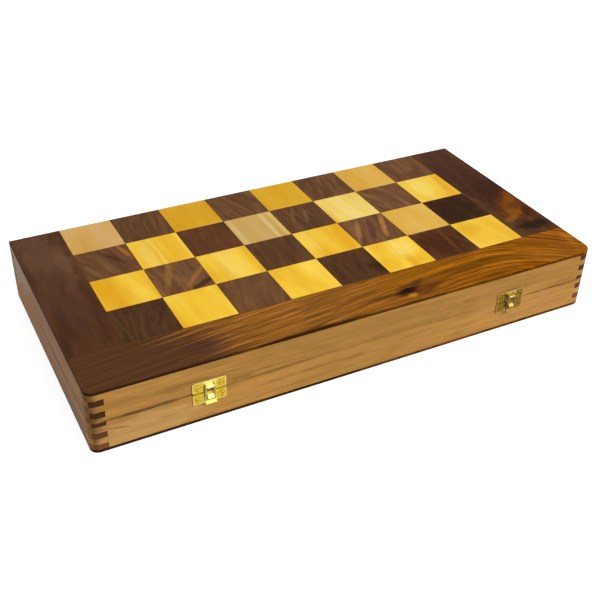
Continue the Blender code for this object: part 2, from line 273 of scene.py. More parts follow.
def surface(tree, shader, colour, relief, height, gloss):
    """Links the colour, and a faint relief of the grain under a thin finish."""
    raised = add(tree, "ShaderNodeBump", {"Strength": 0.25, "Distance": height, "Height": relief})
    tree.links.new(next(o for o in colour.outputs if o.enabled), shader.inputs["Base Color"])
    tree.links.new(raised.outputs["Normal"], shader.inputs["Normal"])
    shader.inputs["Specular IOR Level"].default_value = gloss


# White noise has no order. This draw was searched out of 60,000, as the one whose tones come nearest to
# those of the photographed dark squares
CUTTING = 27559.0


def cell(tree, place):
    """Which square of the field a point lies in, with the tray as its third number."""
    laid = add(
        tree,
        PLACE,
        {
            "Vector": place,
            "Location": (-FIELD_LEFT / SQUARE, -FIELD_FRONT / SQUARE, 0.5),
            "Scale": (1 / SQUARE, 1 / SQUARE, 1 / CASE_HIGH[2]),
        },
    )
    return add(tree, VECTOR, {0: laid}, operation="FLOOR")


def own_grain(tree, place, spread):
    """Coordinates turned and moved afresh in each square, as each is cut from another place."""
    chance = add(
        tree, "ShaderNodeTexWhiteNoise", {"Vector": cell(tree, place), "W": CUTTING}, noise_dimensions="4D"
    )
    apart = add(tree, VECTOR, {0: chance.outputs["Color"], "Scale": 5.0}, operation="SCALE")
    turn = add(tree, "ShaderNodeSeparateXYZ", {"Vector": chance.outputs["Color"]}).outputs["Y"]
    angle = add(tree, RANGE, {"Value": turn, "To Min": -spread, "To Max": spread})
    turned = add(
        tree, "ShaderNodeVectorRotate", {"Vector": place, "Angle": angle}, rotation_type="Z_AXIS"
    )
    return add(tree, VECTOR, {0: turned, 1: apart}, operation="ADD"), chance.outputs["Value"]


GRAIN_RELIEF = 0.05 * MM
ROSEWOOD_GLOSS = 0.01
BOXWOOD_GLOSS = 0.05
WALL_GLOSS = 0.04


STREAK_WANDER = 45 * MM
STREAK_REACH = 14 * MM
STREAK_ASPECT = 12
PORE_WIDTH = 0.8 * MM
PORE_LENGTH = 26 * MM


def rosewood(tree, place, spot, width, tones, patches, torn):
    """Wandering streaks of darker and paler rosewood, with patches and fine pores along the grain."""
    wandering = bent(tree, spot, STREAK_WANDER, STREAK_REACH)
    streaks = figure(tree, wandering, width, STREAK_ASPECT * width, "Y", detail=4.0)
    colour = add(tree, RAMP, {"Fac": streaks}, stops=tones)
    rough = figure(tree, place, 6 * MM, 12 * MM, "Y", detail=5.0)
    colour = patched(tree, colour, place, patches, rough, torn)
    pores = figure(tree, wandering, PORE_WIDTH, PORE_LENGTH, "Y", detail=2.0)
    return lined(tree, colour, pores, 0.3, 0.6, 0.86), pores


# Patches of the dark squares, in millimetres from the middle of the board. These and the other patches
# were placed and toned to match the photograph
SQUARE_PATCHES = (
    ((-160, 62), (4, 20), 14, "#a3672c", 0.75),
    ((-175, 58), (4, 28), 32, "#38241a", 0.6),
    ((-197, 40), (4, 24), 20, "#7a5c38", 0.55),
    ((-200, -52), (1.4, 48), 6, "#7a5a3c", 0.6),
    ((-137, 4), (5, 36), -20, "#86602f", 0.55),
    ((-114, -6), (4, 26), -42, "#8d6030", 0.55),
    ((-112, -20), (5, 26), -62, "#2c160b", 0.75),
    ((62, 0), (4, 32), -24, "#9a6c46", 0.6),
    ((76, -2), (5, 30), -22, "#55302a", 0.8),
    ((92, 2), (4, 32), -20, "#a8743c", 0.7),
    ((18, 58), (3, 22), -22, "#84603e", 0.45),
    ((30, 52), (3, 20), -18, "#8a6440", 0.45),
    ((26, -53), (40, 40), 0, "#4c2e19", 0.5),
    ((48, -64), (12, 16), 30, "#2c190d", 0.6),
    ((180, -1), (52, 52), 0, "#34190a", 0.75),
    ((128, -55), (52, 40), 0, "#4a1f08", 0.7),
    ((135, -52), (3, 34), -3, "#744428", 0.7),
    ((-77, -53), (46, 46), 0, "#7c5636", 0.35),
    ((-77, 50), (46, 46), 0, "#86482a", 0.35),
    ((-26, -1), (46, 46), 0, "#5a3a24", 0.35),
)


ROSEWOOD_LEAN = math.radians(24)
PLY_WIDTH = 7 * MM
PLY_LENGTH = 190 * MM
PLY_WANDER = 90 * MM
PLY_REACH = 16 * MM


def rosewood_squares():
    # Oiled rosewood, each square cut apart, so the eye sees brown squares whose streaks lean differently
    made, tree, shader, place = start_material("oiled_rosewood_squares", 0.42)
    own, chance = own_grain(tree, place, ROSEWOOD_LEAN)
    tones = shades(colours().rosewood, (0.32, 0.72), (0.48, 0.95), (0.62, 1.25), (0.76, 1.5))
    colour, pores = rosewood(tree, place, own, sizes().streak, tones, SQUARE_PATCHES, 1.1)
    tone = add(tree, RANGE, {"Value": chance, "To Min": 0.5, "To Max": 1.5})
    colour = add(tree, VECTOR, {0: colour, "Scale": tone}, operation="SCALE")
    # Ply of the panel, which shows only inside the trays
    height = add(tree, "ShaderNodeSeparateXYZ", {"Vector": place}).outputs["Z"]
    off_middle = add(tree, MATH, {0: height, 1: CASE_MIDDLE.z}, operation="SUBTRACT")
    depth = add(tree, MATH, {0: off_middle}, operation="ABSOLUTE")
    inside = add(tree, MATH, {0: depth, 1: CASE_HIGH[2] / 2 - SURFACE - 2 * JOINT}, operation="LESS_THAN")
    layers = figure(tree, bent(tree, place, PLY_WANDER, PLY_REACH), PLY_WIDTH, PLY_LENGTH, "X")
    ply = add(tree, RAMP, {"Fac": layers}, stops=shades(colours().ply, (0.3, 0.88), (0.7, 1.1)))
    either = add(tree, MIX, {"Factor": inside, "A": colour, "B": ply}, data_type="RGBA")
    surface(tree, shader, either, pores, GRAIN_RELIEF, ROSEWOOD_GLOSS)
    return made


# Patches of the end strips: an orange burr at the right, paler and darker clouds at the left
STRIP_PATCHES = (
    ((231, 60), (46, 90), 0, "#3d241a", 0.5),
    ((236, 0), (34, 66), 0, "#371a0e", 0.75),
    ((238, -24), (26, 46), -24, "#52280a", 0.9),
    ((236, -20), (20, 36), -30, "#6a3a0c", 0.75),
    ((246, -4), (7, 18), -20, "#8a4e10", 0.6),
    ((236, -12), (6, 18), -44, "#7f450e", 0.55),
    ((231, -34), (14, 15), -30, "#95540e", 0.6),
    ((219, -44), (12, 7), 16, "#905a24", 0.6),
    ((243, -36), (6, 16), -30, "#341807", 0.75),
    ((234, -62), (30, 11), 0, "#20130d", 0.85),
    ((-217, 66), (9, 30), 8, "#775233", 0.6),
    ((-220, 30), (6, 22), -20, "#6a4630", 0.5),
    ((-232, 90), (30, 64), 12, "#6a4b38", 0.6),
    ((-236, 10), (30, 70), 0, "#54392b", 0.5),
    ((-246, -40), (8, 50), -6, "#392318", 0.5),
)


def painted_edge_shade(tree, colour):
    """The colour, with painted shade where the strip's sawn edge faces sideways."""
    facing = add(tree, "ShaderNodeTexCoord").outputs["Normal"]
    upward = add(tree, "ShaderNodeSeparateXYZ", {"Vector": facing}).outputs["Z"]
    either_way = add(tree, MATH, {0: upward}, operation="ABSOLUTE")
    shade = add(tree, RANGE, {"Value": either_way, "From Min": 0.3, "From Max": 0.85, "To Min": 0.42})
    return add(tree, VECTOR, {0: colour, "Scale": shade}, operation="SCALE")


def rosewood_strips():
    # The same rosewood in long strips, its streaks broader and running from front to back
    made, tree, shader, place = start_material("oiled_rosewood_strips", 0.42)
    width = 1.8 * sizes().streak
    tones = shades(colours().strip_rosewood, (0.34, 0.8), (0.5, 1.02), (0.68, 1.35))
    colour, pores = rosewood(tree, place, place, width, tones, STRIP_PATCHES, 1.3)
    surface(tree, shader, painted_edge_shade(tree, colour), pores, GRAIN_RELIEF, ROSEWOOD_GLOSS)
    return made


# The rings of the front strip arch over one place and fall away faster past it
ARCH_MIDDLE = 140 * MM
ARCH_ROUND = 50 * MM
ARCH_SLOPE = 0.11
ARCH_FALL = 0.0036 / MM
# The heartwood ends on a slant, its edge drawn out along the rings
HEARTWOOD_SLANT = 0.6
HEARTWOOD_FEATHER = 140 * MM
HEARTWOOD_ENDS = -160 * MM
SAPWOOD_STARTS = -90 * MM
ORANGE_STARTS = -60 * MM
ORANGE_FULL = 130 * MM
RING_WIDTH = 4.5 * MM
RING_LENGTH = 220 * MM
CLOSE_RING_WIDTH = 2.8 * MM
CLOSE_RING_LENGTH = 160 * MM
FINE_WIDTH = 0.9 * MM
FINE_LENGTH = 60 * MM
# Patches of the front strips, with the knot and the dark spot where the heartwood ends
KNOT_PATCHES = (
    ((60, -92), (50, 10), 3, "#96610e", 0.6),
    ((222, -92), (34, 13), -22, "#7f4508", 0.6),
    ((210, -117), (44, 8), -28, "#99601e", 0.5),
    ((236, -104), (16, 26), -16, "#7a4414", 0.5),
    ((246, -98), (5, 20), -8, "#a9691e", 0.65),
    ((-120, -80), (30, 5), 4, "#7d5222", 0.5),
    ((-148, -107), (22, 15), -20, "#4b2c22", 0.75),
    ((26, -111), (28, 3), 2, "#4a260f", 0.6),
    ((66, -113), (26, 12), 10, "#5e3210", 0.85),
    ((62, -105), (18, 7), 26, "#4e2a10", 0.8),
    ((50, -111), (16, 11), 14, "#2a1308", 1.0),
    ((50, -119), (7, 6), 10, "#ba7a2a", 0.85),
    # Partly the timber's own dark edge, partly painted shade along the rounded front edge of the strip
    ((-55, -128), (80, 4), 0, "#43200b", 0.85),
)


def cathedral_rosewood():
    # Flat-sawn rosewood, so the eye sees brown heartwood at the left, orange sapwood at the right, and
    # fine lines that arch round a knot
    made, tree, shader, place = start_material("oiled_cathedral_rosewood", 0.42)
    wandering = bent(tree, bent(tree, place, 80 * MM, 5 * MM), 24 * MM, 1.2 * MM)
    apart = add(tree, "ShaderNodeSeparateXYZ", {"Vector": wandering})
    off_arch = add(tree, MATH, {0: apart.outputs["X"], 1: ARCH_MIDDLE}, operation="SUBTRACT")
    squared = add(tree, MATH, {0: off_arch, 1: off_arch, 2: ARCH_ROUND**2}, operation="MULTIPLY_ADD")
    run = add(tree, MATH, {0: squared}, operation="SQRT")
    rise = add(tree, MATH, {0: run, 1: ARCH_SLOPE, 2: apart.outputs["Y"]}, operation="MULTIPLY_ADD")
    past = add(tree, MATH, {0: off_arch, 1: 0.0}, operation="MAXIMUM")
    falling = add(tree, MATH, {0: past, 1: past}, operation="MULTIPLY")
    rise = add(tree, MATH, {0: falling, 1: ARCH_FALL, 2: rise}, operation="MULTIPLY_ADD")
    arched = add(
        tree,
        "ShaderNodeCombineXYZ",
        {"X": apart.outputs["X"], "Y": rise, "Z": apart.outputs["Z"]},
    )
    rings = figure(tree, arched, RING_WIDTH, RING_LENGTH, "X", detail=4.0)
    close_rings = figure(tree, arched, CLOSE_RING_WIDTH, CLOSE_RING_LENGTH, "X", detail=4.0)
    fine = figure(tree, arched, FINE_WIDTH, FINE_LENGTH, "X", detail=3.0)
    brown = add(
        tree,
        RAMP,
        {"Fac": close_rings},
        stops=shades(colours().brown_sapwood, (0.36, 0.66), (0.47, 0.9), (0.55, 1.08), (0.66, 1.35)),
    )
    orange = add(
        tree,
        RAMP,
        {"Fac": rings},
        stops=shades(colours().sapwood, (0.36, 0.5), (0.47, 0.85), (0.55, 1.15), (0.66, 1.6)),
    )
    along = add(
        tree,
        RANGE,
        {"Value": apart.outputs["X"], "From Min": ORANGE_STARTS, "From Max": ORANGE_FULL},
        interpolation_type="SMOOTHSTEP",
    )
    sap = add(tree, MIX, {"Factor": along, "A": brown, "B": orange}, data_type="RGBA")
    heart = add(
        tree,
        RAMP,
        {"Fac": rings},
        stops=shades(colours().strip_rosewood, (0.36, 0.88), (0.5, 1.02), (0.68, 1.2)),
    )
    # The heartwood ends on a slant: far to the left along the squares, further right along the front edge
    slant = add(
        tree,
        MATH,
        {0: apart.outputs["Y"], 1: HEARTWOOD_SLANT, 2: apart.outputs["X"]},
        operation="MULTIPLY_ADD",
    )
    # Its edge feathers out along the rings
    feathered = add(tree, MATH, {0: close_rings, 1: HEARTWOOD_FEATHER, 2: slant}, operation="MULTIPLY_ADD")
    sapwood_share = add(
        tree,
        RANGE,
        {"Value": feathered, "From Min": HEARTWOOD_ENDS, "From Max": SAPWOOD_STARTS},
        interpolation_type="SMOOTHSTEP",
    )
    colour = add(tree, MIX, {"Factor": sapwood_share, "A": heart, "B": sap}, data_type="RGBA")
    rough = figure(tree, arched, 4 * MM, 30 * MM, "X", detail=4.0)
    colour = patched(tree, colour, place, KNOT_PATCHES, rough, 1.4)
    darkest = add(tree, RANGE, {"Value": sapwood_share, "To Min": 0.86, "To Max": 0.4})
    shade = add(
        tree, RANGE, {"Value": fine, "From Min": 0.34, "From Max": 0.56, "To Min": darkest, "To Max": 1.12}
    )
    colour = add(tree, VECTOR, {0: colour, "Scale": shade}, operation="SCALE")
    surface(tree, shader, painted_edge_shade(tree, colour), fine, GRAIN_RELIEF, ROSEWOOD_GLOSS)
    return made


# Deeper and paler bands of the light squares, in millimetres from the middle of the board
BOXWOOD_PATCHES = (
    ((-26, 50), (50, 50), 0, "#bf9f5a", 0.6),
    ((-12.5, 50), (3.4, 80), 0, "#dac07a", 0.7),
    ((-3, 50), (3, 80), 0, "#d9b868", 0.7),
    ((-47, 50), (4, 80), 0, "#cfb778", 0.7),
    ((-114, 50), (14, 80), 2, "#e4aa1a", 0.7),
    ((-131, 50), (3, 80), 3, "#efcf5e", 0.5),
    ((-196, 4), (13, 60), 10, "#dfa010", 0.7),
    ((-167, -10), (12, 24), 0, "#f4cd4a", 0.6),
    ((-78, 2), (12, 80), 4, "#f3d365", 0.6),
    ((26, 0), (50, 50), 0, "#e8b52a", 0.4),
    ((45, 0), (10, 80), -8, "#dfa214", 0.75),
    ((180, 50), (50, 50), 0, "#e8ba36", 0.4),
    ((198, 44), (9, 60), -10, "#e0a51a", 0.8),
    ((180, -53), (50, 50), 0, "#e3b22c", 0.6),
    ((166, -42), (20, 18), 30, "#dca218", 0.6),
    ((92, -68), (12, 14), 0, "#e4aa1c", 0.6),
    ((172, 54), (18, 34), 0, "#f3de74", 0.6),
    ((8, 8), (18, 30), 0, "#f0cf54", 0.6),
    ((84, -44), (18, 24), 0, "#f6da70", 0.6),
    ((60, -66), (16, 18), 0, "#e2a61a", 0.5),
    ((-141, 44), (10, 40), 0, "#f2d468", 0.5),
)


# How far the red, green and blue of a band move from the middle tone
WARM_SHIFT_SHARES = (-0.12, -0.26, -0.5)
PALE_SHIFT_SHARES = (0.08, 0.22, 1.6)
BAND_LENGTH = 150 * MM
BOXWOOD_LEAN = math.radians(9)
TONE_SPREAD = 0.12


def boxwood(name, colour, contrast):
    # Oiled boxwood, close and even, so the eye sees flat warm squares with soft broad bands
    made, tree, shader, place = start_material(name, 0.38)
    own, chance = own_grain(tree, place, BOXWOOD_LEAN)
    bands = figure(tree, own, sizes().band, BAND_LENGTH, "Y", detail=2.0)
    shifted = add(tree, MATH, {0: chance, 1: TONE_SPREAD, 2: bands}, operation="MULTIPLY_ADD")
    warm, pale = (
        (*[level * (1 + share * contrast) for level, share in zip(colour, shift)], 1)
        for shift in (WARM_SHIFT_SHARES, PALE_SHIFT_SHARES)
    )
    tones = add(tree, RAMP, {"Fac": shifted}, stops=((0.4, warm), (0.55, colour), (0.74, pale)))
    rough = figure(tree, own, 4 * MM, 60 * MM, "Y", detail=2.0)
    tones = patched(tree, tones, place, BOXWOOD_PATCHES, rough, 0.7)
    fine = figure(tree, own, 1.1 * MM, 50 * MM, "Y", detail=2.0)
    surface(tree, shader, lined(tree, tones, fine, 0.3, 0.6, 0.95), fine, GRAIN_RELIEF, BOXWOOD_GLOSS)
    return made


# Patches of the long walls, in millimetres across and up: clouds, painted shade along the seam where the trays
# meet, painted shade on the left corner where it turns from the light, and a darker right corner
WALL_PATCHES = (
    ((-10, 30), (150, 60), 0, "#9a7136", 0.45),
    ((-205, 14), (70, 22), 0, "#c09a62", 0.5),
    ((190, 13), (90, 24), 0, "#b08048", 0.4),
    ((228, 42), (44, 16), 0, "#9b6e31", 0.45),
    ((-122, 35), (18, 3), 0, "#84602c", 0.7),
    ((-232, 21), (18, 1.3), -12, "#6f4d24", 0.6),
    ((-187, 17), (14, 1.2), -4, "#85602e", 0.5),
    ((-92, 20), (16, 2.4), 0, "#846130", 0.6),
    ((-46, 20.5), (40, 2), 1, "#86602c", 0.7),
    ((-12, 20), (12, 2), 4, "#7a5828", 0.6),
    # Painted shade in the seam between the trays
    ((-208, 31.2), (66, 1.9), 0, "#2e1b0a", 1.0),
    ((-90, 31.2), (60, 1.3), 0, "#624419", 0.8),
    ((90, 31.2), (60, 0.9), 0, "#7a5828", 0.6),
    ((214, 31.2), (60, 1.6), 0, "#644419", 0.9),
    ((54, 24), (34, 1.4), 3, "#835e2d", 0.6),
    ((150, 23), (26, 2), 2, "#85602c", 0.6),
    ((-52, 42), (26, 5), -6, "#8f692f", 0.5),
    # Painted shade on the left corner, which turns away from the light; the right corner is darker too
    ((-254, 34), (14, 60), 0, "#654a22", 0.8),
    ((253, 34), (8, 60), 0, "#82633a", 0.6),
)


# Patches of the end walls, in millimetres from front to back and up: a painted sheen towards the back, painted
# shade along the seam and low by the front corner, and clouds
END_WALL_PATCHES = (
    # Painted sheen: a pale reflection on the far end of the wall
    ((120, 48), (110, 34), -14, "#bda98c", 0.6),
    ((62, 24), (46, 12), -10, "#a4642c", 0.5),
    # Painted shade in the seam between the trays
    ((-40, 31.2), (130, 2.4), 0, "#40290f", 0.9),
    # Painted shade low by the front corner, which faces away from the light
    ((-90, 12), (80, 16), 0, "#6c4e2c", 0.65),
    ((-20, 16), (110, 26), 0, "#85623a", 0.4),
)


WALL_WANDER = 120 * MM
WALL_REACH = 5 * MM
# Painted bounce light: how much paler the lower tray's walls are made
LOWER_TRAY_BOUNCE_LIGHT = 1.14
# Painted shade: how dark the walls are made at the seam between the trays
SEAM_PAINTED_SHADE = 0.5


def wall_hardwood(name, axis, base, end_colour, patches):
    # Planed tan hardwood, with fine straight figure on its faces and darker open end grain at the finger ends
    made, tree, shader, place = start_material(name, 0.5)
    wandering = bent(tree, place, WALL_WANDER, WALL_REACH)
    bands = figure(tree, wandering, sizes().wall_band, BAND_LENGTH, axis)
    tones = add(
        tree, RAMP, {"Fac": bands}, stops=shades(base, (0.32, 0.82), (0.5, 1.0), (0.7, 1.18))
    )
    fine = figure(tree, wandering, 0.9 * MM, 30 * MM, axis, detail=3.0)
    long_grain = lined(tree, tones, fine, 0.28, 0.58, 0.78)
    streaks = figure(tree, wandering, 2.0 * MM, 90 * MM, axis, detail=3.0)
    long_grain = lined(tree, long_grain, streaks, 0.3, 0.42, 0.74)
    flecks = figure(tree, place, 6 * MM, 16 * MM, axis, detail=3.0)
    fleck = add(tree, RANGE, {"Value": flecks, "From Min": 0.5, "From Max": 0.66, "To Max": 0.8})
    ruddy = (base[0] * 1.0, base[1] * 0.84, base[2] * 1.2, 1)
    long_grain = add(tree, MIX, {"Factor": fleck, "A": long_grain, "B": ruddy}, data_type="RGBA")
    smudges = figure(tree, wandering, 9 * MM, 40 * MM, axis, detail=2.0)
    long_grain = lined(tree, long_grain, smudges, 0.34, 0.5, 0.84)
    turned = (-math.pi / 2, -math.pi / 2 if axis == "Y" else 0, 0)
    stood_up = add(tree, PLACE, {"Vector": place, "Rotation": turned})
    marked = patched(tree, long_grain, stood_up, patches, flecks, 1.2)
    facing = add(tree, "ShaderNodeTexCoord").outputs["Normal"]
    upward = add(tree, "ShaderNodeSeparateXYZ", {"Vector": facing}).outputs["Z"]
    level = add(tree, MATH, {0: upward}, operation="ABSOLUTE")
    upright = add(tree, RANGE, {"Value": level, "From Min": 0.7, "From Max": 0.4})
    long_grain = add(tree, MIX, {"Factor": upright, "A": long_grain, "B": marked}, data_type="RGBA")
    speckle = add(tree, NOISE, {"Vector": place, "Scale": 1 / (0.7 * MM), "Detail": 3.0})
    end_grain = add(
        tree, RAMP, {"Fac": speckle}, stops=shades(end_colour, (0.35, 0.7), (0.65, 1.3))
    )
    along = add(tree, VECTOR, {0: facing, 1: [float(a == axis) for a in "XYZ"]}, operation="DOT_PRODUCT")
    either_way = add(tree, MATH, {0: along.outputs["Value"]}, operation="ABSOLUTE")
    cut_across = add(
        tree, RANGE, {"Value": either_way, "From Min": 0.6, "From Max": 0.8}, interpolation_type="SMOOTHSTEP"
    )
    # The end grain is paler towards the floor
    height = add(tree, "ShaderNodeSeparateXYZ", {"Vector": place}).outputs["Z"]
    paler_low = add(
        tree, RANGE, {"Value": height, "From Min": 3 * MM, "From Max": 30 * MM, "To Min": 2.3, "To Max": 0.8}
    )
    end_grain = add(tree, VECTOR, {0: end_grain, "Scale": paler_low}, operation="SCALE")
    colour = add(tree, MIX, {"Factor": cut_across, "A": long_grain, "B": end_grain}, data_type="RGBA")
    # Painted light: the lower tray's boards are made paler, as if lit from the floor below, and painted shade
    # darkens both rims where the trays meet
    from_rim = add(tree, MATH, {0: height, 1: CASE_MIDDLE.z}, operation="SUBTRACT")
    lower = add(tree, MATH, {0: from_rim, 1: 0.0}, operation="LESS_THAN")
    tone = add(tree, RANGE, {"Value": lower, "To Min": 1.0, "To Max": LOWER_TRAY_BOUNCE_LIGHT})
    away = add(tree, MATH, {0: from_rim}, operation="ABSOLUTE")
    uneven = figure(tree, place, 4 * MM, 60 * MM, axis, detail=2.0)
    # Painted shade along the seam, its reach uneven and kept off the faces that face up or down
    painted_rim_tone = add(tree, MATH, {0: uneven, 1: 5 * MM, 2: away}, operation="MULTIPLY_ADD")
    painted_rim_tone = add(tree, MATH, {0: level, 1: 9 * MM, 2: painted_rim_tone}, operation="MULTIPLY_ADD")
    rim = add(
        tree, RANGE, {"Value": painted_rim_tone, "From Min": 2.2 * MM, "From Max": 3.4 * MM, "To Min": SEAM_PAINTED_SHADE}
    )
    shade = add(tree, MATH, {0: tone, 1: rim}, operation="MULTIPLY")
    colour = add(tree, VECTOR, {0: colour, "Scale": shade}, operation="SCALE")
    surface(tree, shader, colour, fine, GRAIN_RELIEF, WALL_GLOSS)
    return made


# The two clasps lie this far either side of a line a little right of the middle
CLASP_REACH = 154.5 * MM
CLASPS_ASIDE = 2.5 * MM
PLATE_HALF_WIDTH = 15 * MM
PLATES_HALF_HEIGHT = 11.35 * MM
CATCH_HALF_WIDTH = 5.2 * MM
RIM_WIDTH = 1.6 * MM
TARNISH_SPOT = 2 * MM
DENT_WIDTH = 2.5 * MM
DENT_DEPTH = 0.25 * MM


def brass(name, colour, roughness, wear_and_highlight_share):
    # Pressed brass, yellow at the left and tarnished at the right, so the eye sees speckled plates with
    # rims and knuckles painted pale at the front, partly rubbing wear and partly a painted highlight
    made, tree, shader, place = start_material(name, roughness, 1.0)
    tarnish = add(tree, NOISE, {"Vector": place, "Scale": 1 / TARNISH_SPOT, "Detail": 2.0})
    tones = add(tree, RAMP, {"Fac": tarnish}, stops=shades(colour, (0.35, 0.62), (0.5, 0.86), (0.65, 1.08)))
    apart = add(tree, "ShaderNodeSeparateXYZ", {"Vector": place})
    duller = add(tree, RANGE, {"Value": apart.outputs["X"], "From Max": CLASP_REACH / 2, "To Max": 1.0})
    tones = add(
        tree,
        MIX,
        {"Factor": duller, "A": tones, "B": colours().tarnish},
        data_type="RGBA",
        blend_type="MULTIPLY",
    )
    aside = add(tree, MATH, {0: apart.outputs["X"], 1: CLASPS_ASIDE}, operation="SUBTRACT")
    reach = add(tree, MATH, {0: aside}, operation="ABSOLUTE")
    off_clasp = add(tree, MATH, {0: reach, 1: CLASP_REACH}, operation="SUBTRACT")
    across = add(tree, MATH, {0: off_clasp}, operation="ABSOLUTE")
    off_middle = add(tree, MATH, {0: apart.outputs["Z"], 1: CASE_MIDDLE.z}, operation="SUBTRACT")
    up = add(tree, MATH, {0: off_middle}, operation="ABSOLUTE")
    sides = add(
        tree, RANGE, {"Value": across, "From Min": PLATE_HALF_WIDTH - RIM_WIDTH, "From Max": PLATE_HALF_WIDTH}
    )
    ends = add(
        tree, RANGE, {"Value": up, "From Min": PLATES_HALF_HEIGHT - RIM_WIDTH, "From Max": PLATES_HALF_HEIGHT}
    )
    middle = add(
        tree, RANGE, {"Value": across, "From Min": CATCH_HALF_WIDTH + RIM_WIDTH, "From Max": CATCH_HALF_WIDTH}
    )
    rim = add(tree, MATH, {0: sides, 1: ends}, operation="MAXIMUM")
    rim = add(tree, MATH, {0: rim, 1: middle}, operation="MAXIMUM")
    # The pale rims stand partly for a painted highlight, so they are kept to the front of the board
    in_front = add(tree, MATH, {0: apart.outputs["Y"], 1: 0.0}, operation="LESS_THAN")
    painted_rim_tone = add(tree, MATH, {0: rim, 1: in_front}, operation="MULTIPLY")
    painted_rim_tone = add(tree, MATH, {0: painted_rim_tone, 1: wear_and_highlight_share}, operation="MULTIPLY")
    kept = add(tree, RANGE, {"Value": duller, "To Min": 1.0, "To Max": 0.45})
    painted_rim_tone = add(tree, MATH, {0: painted_rim_tone, 1: kept}, operation="MULTIPLY")
    tones = add(
        tree,
        MIX,
        {"Factor": painted_rim_tone, "A": tones, "B": colours().worn_and_highlit_brass},
        data_type="RGBA",
        clamp_result=True,
    )
    dents = add(tree, NOISE, {"Vector": place, "Scale": 1 / DENT_WIDTH, "Detail": 0.0})
    raised = add(tree, "ShaderNodeBump", {"Strength": 0.5, "Distance": DENT_DEPTH, "Height": dents})
    tree.links.new(next(o for o in tones.outputs if o.enabled), shader.inputs["Base Color"])
    tree.links.new(raised.outputs["Normal"], shader.inputs["Normal"])
    return made


def joint_wax():
    # Brown wax rubbed into the joints, matt and close to the paler rosewood
    made, tree, shader, place = start_material("brown_joint_wax", 0.6)
    grains = add(tree, NOISE, {"Vector": place, "Scale": 1 / (2 * MM)})
    tones = add(tree, RAMP, {"Fac": grains}, stops=shades(colours().wax, (0.3, 0.8), (0.7, 1.2)))
    tree.links.new(tones.outputs["Color"], shader.inputs["Base Color"])
    shader.inputs["Specular IOR Level"].default_value = ROSEWOOD_GLOSS
    return made


def give(material, *names):
    """Puts one material in the slots of these CAD nodes."""
    for name in names:
        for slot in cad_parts[name].material_slots:
            slot.material = material


# New pieces

CREASE = math.radians(35)


def finished(name, bm, material, body):
    """An object at the origin that holds the shape, rides on its body and takes its finish from a slot."""
    bmesh.ops.recalc_face_normals(bm, faces=bm.faces)
    mesh = bpy.data.meshes.new(name)
    bm.to_mesh(mesh)
    bm.free()
    mesh.materials.append(material)
    mesh.shade_smooth()
    mesh.set_sharp_from_angle(angle=CREASE)
    piece = bpy.data.objects.new(name, mesh)
    bpy.context.scene.collection.objects.link(piece)
    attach(piece, body)
    return piece


def everything(bm):
    """All the geometry of a shape, as the bmesh operators take it."""
    return bm.verts[:] + bm.edges[:] + bm.faces[:]


def verts_in(geometry):
    """The vertices among what a bmesh operator gives back."""
    return [each for each in geometry if isinstance(each, bmesh.types.BMVert)]


def copied(bm, places):
    """Repeats the one shape in bm at each of these places, and takes the first away."""
    first = everything(bm)
    for place in places:
        made = bmesh.ops.duplicate(bm, geom=first)["geom"]
        bmesh.ops.transform(bm, matrix=place, verts=verts_in(made))
    bmesh.ops.delete(bm, geom=verts_in(first), context="VERTS")


FACE_FORWARD = Matrix.Rotation(math.pi / 2, 4, "X")
WING_SHARE = 0.39
NAIL_HEIGHT_SHARE = 0.45
CASE_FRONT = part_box("upper_front_wall")[0].y


def plate_face(node):
    """How far forward the flat of a clasp plate lies: the plane with the most of its corners."""
    counts = {}
    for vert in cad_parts[node].data.vertices:
        if vert.co.y < CASE_FRONT - 0.5 * MM:
            key = round(vert.co.y * PER_MM, 2)
            counts[key] = counts.get(key, 0) + 1
    return max(counts, key=counts.get) * MM


def wing_places(node):
    """The middles of a clasp plate's two wings, on its face."""
    low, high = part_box(node)
    middle = (low.x + high.x) / 2
    reach = WING_SHARE * (high.x - low.x)
    height = low.z + NAIL_HEIGHT_SHARE * (high.z - low.z)
    return [
        Matrix.Translation((middle + side * reach, plate_face(node), height)) @ FACE_FORWARD
        for side in (-1, 1)
    ]


NAIL_DOME_SHARE = 0.5
NAIL_SUNK_SHARE = 0.12
NAIL_FACETS = 20
NAIL_RINGS = 12


def nails(name, node, material, body):
    """Domed nails in the two wings of a clasp plate."""
    radius = sizes().nail_radius
    bm = bmesh.new()
    bmesh.ops.create_uvsphere(
        bm,
        u_segments=NAIL_FACETS,
        v_segments=NAIL_RINGS,
        radius=radius,
        matrix=Matrix.Diagonal((1, 1, NAIL_DOME_SHARE, 1)),
    )
    bmesh.ops.bisect_plane(
        bm,
        geom=everything(bm),
        plane_co=(0, 0, -NAIL_SUNK_SHARE * radius),
        plane_no=(0, 0, -1),
        clear_outer=True,
    )
    bmesh.ops.holes_fill(bm, edges=[edge for edge in bm.edges if edge.is_boundary])
    copied(bm, wing_places(node))
    finished(name, bm, material, body)


BEAD_RADIUS = 0.45 * MM
BEAD_LONG = 2.5 * MM
BEAD_WIDE = 3.1 * MM
BEAD_SPUN = 1 * MM
BEAD_FACETS = 8
BEAD_STEPS = 36


